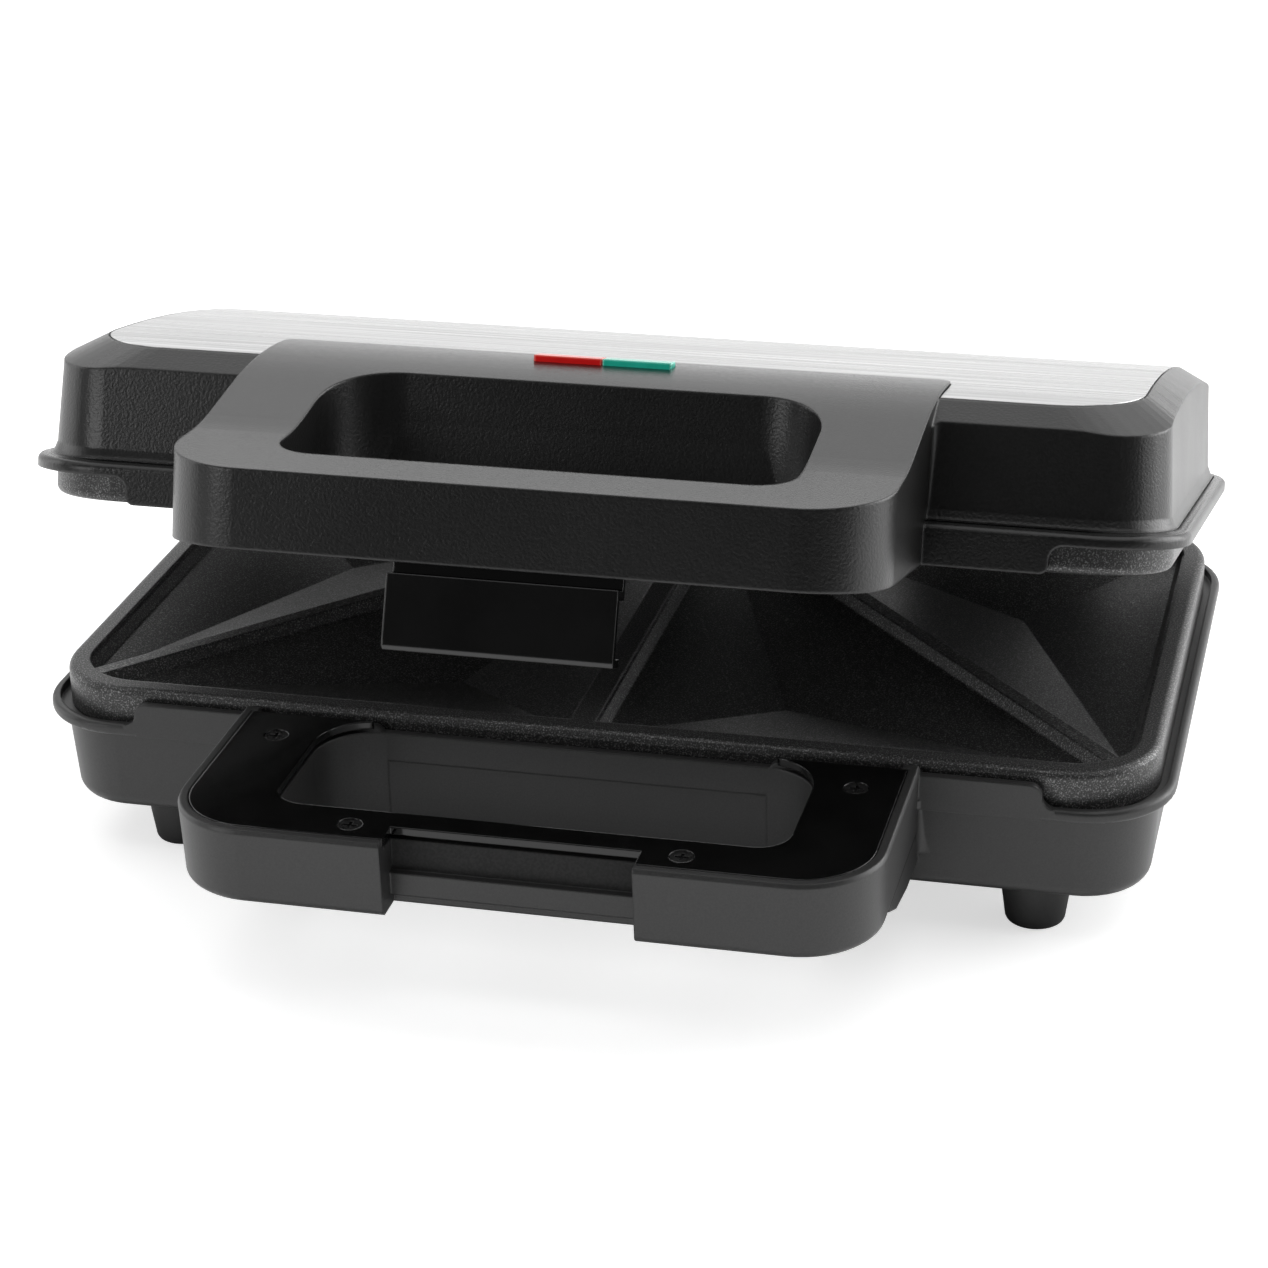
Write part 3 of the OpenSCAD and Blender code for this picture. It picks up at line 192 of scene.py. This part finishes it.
lid_plastic, tree, shader = new_finish("grained_black_plastic")
where = coordinates(tree)
leather = noise(tree, where, LEATHER_SCALE, detail=1.0, rough=0.5)
fine = noise(tree, where, FINE_SCALE, detail=1.0, rough=0.4)
soft = noise(tree, where, 18)
facing = dot(tree, (add(tree, "ShaderNodeTexCoord"), "Normal"), lid_up)
upward = span(tree, facing, 0.80, 0.97)
grain = blend(tree, upward, leather, fine)
tone = ramp(tree, grain, [(0.3, grey(0.0040)), (0.7, grey(0.0085))])
feed(tree, tone, shader, "Base Color")
sheen = ramp(tree, soft, [(0.3, grey(0.29)), (0.7, grey(0.35))])
feed(tree, blend(tree, upward, sheen, 0.22), shader, "Roughness")
rounded(tree, shader, radius=0.0010, grain=grain, height=0.40, distance=0.00018)
print("made", lid_plastic.name)

# %% [markdown]
# The base and the lower handle's shell are smoother and a little lighter: a satin
# plastic with hardly any grain. Only the panel in the notch for the latch is as
# leathery as the lid, and its colour is painted darker than the lid's, a painted
# shade for the recess of the notch. It is part of the same moulding, so the shader
# finds it by its place: three compare nodes close in on that face.

# %% Satin dark grey plastic of the base
notch_panel = (("X", 0.0, 0.0296), ("Y", -0.1215, 0.0008), ("Z", 0.0412, 0.0050))

base_plastic, tree, shader = new_finish("satin_grey_plastic")
where = coordinates(tree)
fine = noise(tree, where, FINE_SCALE)
soft = noise(tree, where, 14)
leather = noise(tree, where, LEATHER_SCALE, detail=1.0, rough=0.5)
panel = box_mask(tree, object_axes(tree), notch_panel)
tone = ramp(tree, fine, [(0.3, grey(0.022)), (0.7, grey(0.032))])
# painted shade: the notch panel's colour is darker, for the shade in its recess; its
# coarse grain is real
dark = ramp(tree, leather, [(0.35, grey(0.003)), (0.65, grey(0.012))])
feed(tree, blend(tree, panel, tone, dark, "RGBA"), shader, "Base Color")
sheen = ramp(tree, soft, [(0.3, grey(0.36)), (0.7, grey(0.44))])
feed(tree, blend(tree, panel, sheen, 0.75), shader, "Roughness")
grain = blend(tree, panel, fine, leather)
rounded(tree, shader, radius=0.0007, grain=grain, height=0.15, distance=0.00012)
print("made", base_plastic.name)

# %% [markdown]
# The lower handle's cover and the latch are piano black. A faint, slow ripple in
# the surface keeps the reflections from looking computed.

# %% Gloss black of the cover and the latch
gloss_black, tree, shader = new_finish("gloss_black_plastic")
ripple = noise(tree, coordinates(tree), 90)
tone = ramp(tree, ripple, [(0.3, grey(0.0028)), (0.7, grey(0.0045))])
feed(tree, tone, shader, "Base Color")
polish = ramp(tree, ripple, [(0.3, grey(0.10)), (0.7, grey(0.14))])
feed(tree, polish, shader, "Roughness")
rounded(tree, shader, radius=0.0006, grain=ripple, height=0.03, distance=0.0002)
print("made", gloss_black.name)

# %% [markdown]
# The panel in the lid is steel, brushed along its width. Brushing is a noise that
# is 130 times finer across the lines than along them: it goes into the colour and
# a faint bump, while broader streaks go into the roughness. The shader's anisotropy
# draws the highlight out across the lines; the tangent runs round the X axis, so
# across the brushing.

# %% Brushed steel
steel, tree, shader = new_finish("brushed_steel")
lines = noise(
    tree, coordinates(tree, (1.0, 130.0, 130.0)), 9, detail=4.0, rough=0.60)
streaks = noise(tree, coordinates(tree, (1.0, 30.0, 30.0)), 6)
tone = ramp(tree, lines, [
    (0.30, grey(0.38)), (0.50, grey(0.58)), (0.68, grey(0.84))])
feed(tree, tone, shader, "Base Color")
polish = ramp(tree, streaks, [(0.3, grey(0.24)), (0.7, grey(0.33))])
feed(tree, polish, shader, "Roughness")
shader.inputs["Metallic"].default_value = 1.0
shader.inputs["Anisotropic"].default_value = 0.55
across = add(tree, "ShaderNodeTangent", direction_type="RADIAL", axis="X")
feed(tree, (across, "Tangent"), shader, "Tangent")
rounded(tree, shader, radius=0.0003, grain=lines, height=0.30, distance=0.00006)
print("made", steel.name)

# %% [markdown]
# The toasting plates are die-cast and coated with a dark non-stick layer that has
# fine bright flecks in it. The flecks are the tips of a small-scale noise, lighter
# and smoother than the grey around them, over a slight orange peel. The whole coat
# is a little metallic.

# %% Speckled non-stick coating
nonstick, tree, shader = new_finish("speckled_nonstick")
where = coordinates(tree)
flecks = noise(tree, where, 2600, detail=1.0, rough=0.5)
peel = noise(tree, where, 700)
tone = ramp(tree, flecks, [
    (0.46, grey(0.034)), (0.58, grey(0.075)), (0.70, grey(0.22))])
feed(tree, tone, shader, "Base Color")
polish = ramp(tree, flecks, [(0.4, grey(0.42)), (0.75, grey(0.30))])
feed(tree, polish, shader, "Roughness")
shader.inputs["Metallic"].default_value = 0.35
rounded(tree, shader, radius=0.0008, grain=peel, height=0.12, distance=0.0002)
print("made", nonstick.name)

# %% [markdown]
# The two indicator lenses are moulded bars, one red and one green, hardly clear: most
# of the colour sits in the surface and a little of it passes light. They glow weakly
# though no lamp behind them is lit: a painted glow that keeps the bars bright over
# the dark pocket. Near the edges the colour is painted paler, a painted highlight for
# the light lines along the rounded edges: where the bevelled normal leaves the true
# one, an edge is near.

# %% Red and green lenses
def dyed_lens(name, deep, light, pale):
    mat, tree, shader = new_finish(name)
    cloud = noise(tree, coordinates(tree), 160)
    tone = ramp(tree, cloud, [(0.3, deep), (0.7, light)])
    bent = add(tree, "ShaderNodeBevel", samples=BEVEL_SAMPLES, Radius=0.0008)
    true = add(tree, "ShaderNodeNewGeometry")
    agree = dot(tree, (bent, "Normal"), (true, "Normal"))
    # painted highlight: the colour goes paler near the edges, for the light lines
    # that the rounded edges catch
    painted_edge_highlight = span(tree, agree, 0.995, 0.86)
    feed(tree, blend(tree, painted_edge_highlight, tone, pale, "RGBA"), shader, "Base Color")
    shader.inputs["Roughness"].default_value = 0.16
    shader.inputs["Transmission Weight"].default_value = 0.10
    shader.inputs["Specular IOR Level"].default_value = 0.35
    shader.inputs["IOR"].default_value = 1.49
    # painted glow: the bars glow though no lamp lights them
    shader.inputs["Emission Color"].default_value = light
    shader.inputs["Emission Strength"].default_value = 0.09
    rounded(tree, shader, radius=0.0009, grain=cloud, height=0.02)
    return mat


# the last colour of each lens is its painted edge highlight; the middle one also sets
# its painted glow
red_dye = dyed_lens(
    "red_clear_plastic",
    (0.66, 0.008, 0.008, 1), (0.82, 0.016, 0.014, 1), (1.0, 0.22, 0.17, 1))
green_dye = dyed_lens(
    "green_clear_plastic",
    (0.010, 0.40, 0.27, 1), (0.022, 0.54, 0.40, 1), (0.30, 0.92, 0.76, 1))
print("made", red_dye.name, "and", green_dye.name)

# %% [markdown]
# The small pieces: rubber feet and cord gland, the blackened screws of the handles,
# nickel-plated pins and plate screws, and what is inside the housing, which shows
# only through gaps: aluminium pans, the elements' steel sheaths, ceramic blocks and
# sleeved leads. One helper makes them all, and each gets a little texture of its
# own: one noise drives the tone, the roughness and the bump.

# %% Small finishes
ROUGHNESS_SPREAD = 0.05


def plain_finish(name, dark, light, rough, scale, height, metal=0.0, edge=0.0004):
    mat, tree, shader = new_finish(name)
    texture = noise(tree, coordinates(tree), scale, detail=3.0, rough=0.55)
    feed(tree, ramp(tree, texture, [(0.3, dark), (0.7, light)]), shader, "Base Color")
    worn = ramp(tree, texture, [
        (0.3, grey(rough - ROUGHNESS_SPREAD)), (0.7, grey(rough + ROUGHNESS_SPREAD))])
    feed(tree, worn, shader, "Roughness")
    shader.inputs["Metallic"].default_value = metal
    rounded(tree, shader, edge, texture, height)
    return mat


rubber = plain_finish(
    "black_rubber", grey(0.018), grey(0.028), rough=0.60, scale=900, height=0.25)
dark_screw = plain_finish(
    "blackened_screw", grey(0.035), grey(0.075),
    rough=0.30, scale=700, height=0.05, metal=0.8, edge=0.0003)
nickel = plain_finish(
    "nickel_plated", grey(0.42), grey(0.52),
    rough=0.28, scale=700, height=0.05, metal=1.0, edge=0.0002)
pan_metal = plain_finish(
    "pan_aluminium", grey(0.55), grey(0.68),
    rough=0.35, scale=260, height=0.08, metal=1.0)
element_steel = plain_finish(
    "element_sheath", grey(0.20), grey(0.34),
    rough=0.45, scale=300, height=0.10, metal=1.0)
ceramic = plain_finish(
    "white_ceramic", grey(0.62), grey(0.74), rough=0.50, scale=400, height=0.10)
sleeve = plain_finish(
    "red_sleeve", (0.30, 0.03, 0.02, 1), (0.42, 0.05, 0.03, 1),
    rough=0.55, scale=500, height=0.20)
print("made the small finishes")

# %% [markdown]
# The lamps are small glass bulbs. Glass takes its look from transmission, so only a
# faint warm cloud is left in its colour.

# %% Glass of the lamps
lamp_glass, tree, shader = new_finish("lamp_glass")
tint = ramp(tree, noise(tree, coordinates(tree), 200), [
    (0.3, (0.9, 0.86, 0.8, 1)), (0.7, (1, 0.96, 0.9, 1))])
feed(tree, tint, shader, "Base Color")
shader.inputs["Roughness"].default_value = 0.05
shader.inputs["Transmission Weight"].default_value = 0.9
print("made", lamp_glass.name)

# %% [markdown]
# Now each CAD piece gets its finish. The table reads like a parts list: one entry
# for each finish, with the pieces that wear it.

# %% Dress the pieces
finishes = {
    lid_plastic: ["lid_housing", "upper_handle_covers"],
    base_plastic: ["base_housing"],
    gloss_black: ["lower_handle_cover", "latch_clip"],
    steel: ["steel_panel"],
    nonstick: ["lower_plate", "upper_plate"],
    red_dye: ["red_lens"],
    green_dye: ["green_lens"],
    rubber: ["front_feet", "rear_feet", "cord_gland"],
    dark_screw: ["cover_screws", "upper_cover_screws"],
    nickel: ["hinge_pins", "latch_pin", "lower_plate_screws", "upper_plate_screws"],
    pan_metal: ["lower_reflector", "upper_reflector"],
    element_steel: ["lower_element", "upper_element"],
    ceramic: [
        "lower_thermostat", "upper_thermostat", "thermal_fuse", "terminal_block",
        "lamp_holder"],
    sleeve: ["base_leads", "lid_leads"],
    lamp_glass: ["lamps"],
}
for finish, names in finishes.items():
    for name in names:
        piece = nodes[name]
        piece.data.materials.clear()
        piece.data.materials.append(finish)
left_over = set(nodes) - {n for names in finishes.values() for n in names}
print("dressed", len(nodes) - len(left_over), "pieces; left over:", sorted(left_over))

# %% [markdown]
# The studio is a pale floor under a white room. Camera rays see the world and the
# floor as white, as in a catalogue picture, and mirror and see-through rays see
# white where a reflection should be bright, but no extra light falls on the object
# for it. Three more helpers: which rays come from a mirror or through glass, a
# choice between two shaders, and the background of the world.

# %% Helpers for the studio
def mirror_rays(tree, rays):
    return maths(
        tree, "MAXIMUM", (rays, "Is Glossy Ray"), (rays, "Is Transmission Ray"))


def choose(tree, mask, usual, special):
    node = add(tree, "ShaderNodeMixShader")
    feed(tree, mask, node, "Fac")
    feed(tree, usual, node, 1)
    feed(tree, special, node, 2)
    return node, "Shader"


def background(tree, colour):
    node = add(tree, "ShaderNodeBackground")
    feed(tree, colour, node, "Color")
    return node, "Background"


print("camera, mirror and see-through rays")

# %% [markdown]
# The floor is one large square with a pale, matt finish. To be white for the camera
# it also glows, but only for rays that look at it: it throws no light. The glow
# grows with the distance, where fewer lamps reach, so that no horizon shows, and
# it is weak near the toaster, so that the toaster's shadow stays.

# %% Floor and its glow
floor_half = 6.0
corners = [(-floor_half, -floor_half, 0), (floor_half, -floor_half, 0),
           (floor_half, floor_half, 0), (-floor_half, floor_half, 0)]
floor_mesh = bpy.data.meshes.new("floor")
floor_mesh.from_pydata(corners, [], [(0, 1, 2, 3)])
floor = bpy.data.objects.new("floor", floor_mesh)
bpy.context.scene.collection.objects.link(floor)

floor_mat, tree, shader = new_finish("pale_floor")
shader.inputs["Roughness"].default_value = 0.9
pale = ramp(tree, noise(tree, coordinates(tree), 30), [
    (0.3, grey(0.80)), (0.7, grey(0.82))])
feed(tree, pale, shader, "Base Color")
away = add(tree, "ShaderNodeVectorMath", operation="LENGTH")
feed(tree, (add(tree, "ShaderNodeTexCoord"), "Object"), away, 0)
glow = add(tree, "ShaderNodeEmission")
glow_strength = span(tree, (away, "Value"), 0.6, 3.0, To_Min=0.62, To_Max=0.97)
feed(tree, glow_strength, glow, "Strength")
lit_floor = add(tree, "ShaderNodeAddShader")
feed(tree, (shader, "BSDF"), lit_floor, 0)
feed(tree, (glow, "Emission"), lit_floor, 1)
print("floor is", 2 * floor_half, "m wide")

# %% [markdown]
# In a mirror the floor is not white all over: its glow is painted in stretches, a
# painted reflection. Near the camera it stays dim, so that the gloss of the fronts
# stays black. From 40 to 90 cm behind the toaster's middle it is less than a third
# white, which gives the handle's top its grey. Right under the toaster the glow is
# taken out, a painted shadow of the toaster, because the glow itself is never
# shadowed. The stretches are stops of a ramp along Y, and two boxes mark the
# footprint of the tub and of the lower handle.

# %% What mirrors see of the floor
FLOOR_FRONT, FLOOR_BACK = -1.0, 2.0
# painted shadow: in these boxes under the toaster, mirrors see no glow on the floor
painted_shadow_boxes = (
    (("X", 0.0, 0.135), ("Y", 0.0125, 0.078)),
    (("X", 0.0, 0.080), ("Y", -0.105, 0.045)),
)
rays = add(tree, "ShaderNodeLightPath")
floor_axes = object_axes(tree)
depth = span(tree, (floor_axes, "Y"), FLOOR_FRONT, FLOOR_BACK)
# painted reflection: the stops set how white mirrors see the floor from front to back
stretches = ramp(tree, depth, [
    (0.083, grey(0.0)), (0.25, grey(1.0)), (0.40, grey(1.0)),
    (0.47, grey(0.30)), (0.62, grey(0.30)), (0.74, grey(1.0))])
mirrored = maths(tree, "MULTIPLY", mirror_rays(tree, rays), stretches)
for footprint in painted_shadow_boxes:
    painted_shadow = box_mask(tree, floor_axes, footprint)
    open_floor = maths(tree, "SUBTRACT", 1.0, painted_shadow)
    mirrored = maths(tree, "MULTIPLY", mirrored, open_floor)
white_here = maths(tree, "MAXIMUM", (rays, "Is Camera Ray"), mirrored)
seen = choose(tree, white_here, (shader, "BSDF"), (lit_floor, "Shader"))
surface = next(n for n in tree.nodes if n.type == "OUTPUT_MATERIAL")
feed(tree, seen, surface, "Surface")
floor.data.materials.append(floor_mat)
print("mirrors see the floor in", len(stretches[0].color_ramp.elements), "stops")

# %% [markdown]
# The room behind and above the toaster is white and the side where the camera
# stands is dim, as in a photographer's studio. So a face that looks to the front,
# such as the handle's front or the latch, mirrors the dim side and stays black,
# and a face that is seen at a low angle mirrors the white. Two smooth steps over
# the direction of the ray make the map: one from the front to the back, one from
# the walls to the ceiling. Mirrors see the wall behind as white but the ceiling as
# dim, because the overhead lamp is there already.

# %% World
world = bpy.data.worlds.new("studio")
bpy.context.scene.world = world
world.use_nodes = True
tree = world.node_tree
tree.nodes.clear()
axes = add(tree, "ShaderNodeSeparateXYZ")
feed(tree, (add(tree, "ShaderNodeTexCoord"), "Generated"), axes, "Vector")
behind = span(tree, (axes, "Y"), -0.45, 0.25, interpolation_type="SMOOTHSTEP")
aloft = span(tree, (axes, "Z"), 0.45, 0.80, interpolation_type="SMOOTHSTEP")
bright = maths(tree, "MAXIMUM", behind, aloft)
room_tone = ramp(tree, bright, [(0.0, grey(0.04)), (1.0, grey(0.33))])
below_ceiling = maths(tree, "SUBTRACT", 1.0, aloft)
backdrop = maths(tree, "MULTIPLY", behind, below_ceiling)
mirror_tone = ramp(tree, backdrop, [(0.0, grey(0.075)), (1.0, grey(1.0))])
rays = add(tree, "ShaderNodeLightPath")
room = choose(
    tree, mirror_rays(tree, rays),
    background(tree, room_tone), background(tree, mirror_tone))
view = choose(tree, (rays, "Is Camera Ray"), room, background(tree, grey(1.0)))
feed(tree, view, add(tree, "ShaderNodeOutputWorld"), "Surface")
print("world ready")

# %% [markdown]
# Five soft lamps: a very large one overhead, a strong one at the right behind
# the toaster, which brightens the right side of the lid and base, and three weak
# ones at the right, at the left and at the left by the camera, which show the
# edges. The same power over a larger lamp is dimmer to look at, so the steel panel
# turns less white where it mirrors one of them.

# %% Lamps
lamp_table = (  # name, place and size in metres, power in watts
    ("overhead", (0.0, 0.35, 1.5), (2.6, 2.6), 25),
    ("right_back", (1.20, 0.70, 0.50), (1.2, 1.0), 15),
    ("right_side", (1.35, -0.15, 0.5), (0.2, 0.7), 1.2),
    ("left_side", (-1.3, 0.0, 0.5), (0.8, 0.9), 2.8),
    ("left_front", (-0.88, -1.00, 0.50), (0.5, 0.5), 2.8),
)
toaster_middle = Vector((0.0, 0.0, 0.06))
for name, place, size, power in lamp_table:
    light = bpy.data.lights.new(name, "AREA")
    light.shape = "RECTANGLE"
    light.size, light.size_y = size
    light.energy = power
    lamp = bpy.data.objects.new(name, light)
    lamp.location = place
    aim = toaster_middle - Vector(place)
    lamp.rotation_euler = aim.to_track_quat("-Z", "Y").to_euler()
    bpy.context.scene.collection.objects.link(lamp)
print(len(lamp_table), "soft lamps")

# %% [markdown]
# The camera stands where the photographer's stood: a little to the right of the
# front, looking down by 24 degrees, with a 95 mm lens at about 87 cm. Its matrix
# is built from its three directions, because it is also tilted by about one degree.

# %% Camera
IMAGE_WIDTH = 1268        # pixels
FOCAL_LENGTH = 3346.8     # pixels
SENSOR_WIDTH = 36.0       # millimetres
distance, slide_left, slide_down = 0.87492, 0.00466, 0.01137
looked_at = Vector((0.0, 0.0125, 0.0509))

azimuth, elevation, roll = (math.radians(a) for a in (14.28, 24.29, -1.28))
back = Vector((
    math.sin(azimuth) * math.cos(elevation),
    -math.cos(azimuth) * math.cos(elevation),
    math.sin(elevation)))
side = Vector((math.cos(azimuth), math.sin(azimuth), 0.0))
above = back.cross(side)
right = side * math.cos(roll) + above * math.sin(roll)
up = -side * math.sin(roll) + above * math.cos(roll)
eye = looked_at + back * distance - right * slide_left - up * slide_down
turn = Matrix((right, up, back)).transposed().to_4x4()

camera_data = bpy.data.cameras.new("camera")
camera_data.sensor_width = SENSOR_WIDTH
camera_data.lens = FOCAL_LENGTH * SENSOR_WIDTH / IMAGE_WIDTH
camera = bpy.data.objects.new("camera", camera_data)
camera.matrix_world = Matrix.Translation(eye) @ turn
bpy.context.scene.collection.objects.link(camera)
bpy.context.scene.camera = camera
bpy.context.scene.view_settings.view_transform = "Standard"
print("camera at", [round(v, 3) for v in eye])

# %% [markdown]
# Last, a line to say that the scene is done.

# %% End
print("scene done")
